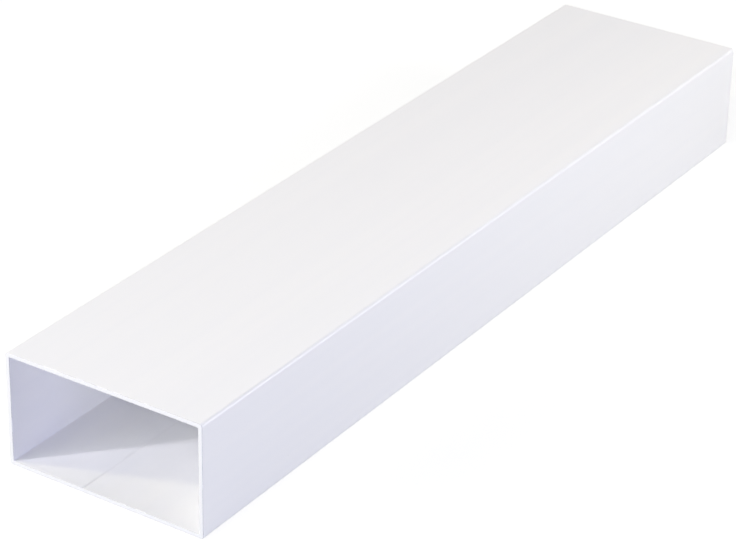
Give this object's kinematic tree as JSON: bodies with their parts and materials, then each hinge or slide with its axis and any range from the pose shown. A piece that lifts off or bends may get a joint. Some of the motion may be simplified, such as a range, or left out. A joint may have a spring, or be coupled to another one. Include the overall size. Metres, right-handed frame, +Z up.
{
  "type": "rigid rectangular duct",
  "caption": "Straight length of rigid white PVC rectangular duct with rounded long edges, open at both sawn ends, carrying air between fans, grilles and fittings.",
  "frame": {"origin": "middle of the underside, which lies on the floor", "axes": "+X across the width to the right, +Y along the length from the front end to the back end, +Z up"},
  "size_m": [0.11, 0.5, 0.059],
  "materials": {
    "white_pvc": "satin, as extruded"
  },
  "bodies": {
    "root": {"duct_channel": "white_pvc"}
  },
  "joints": []
}
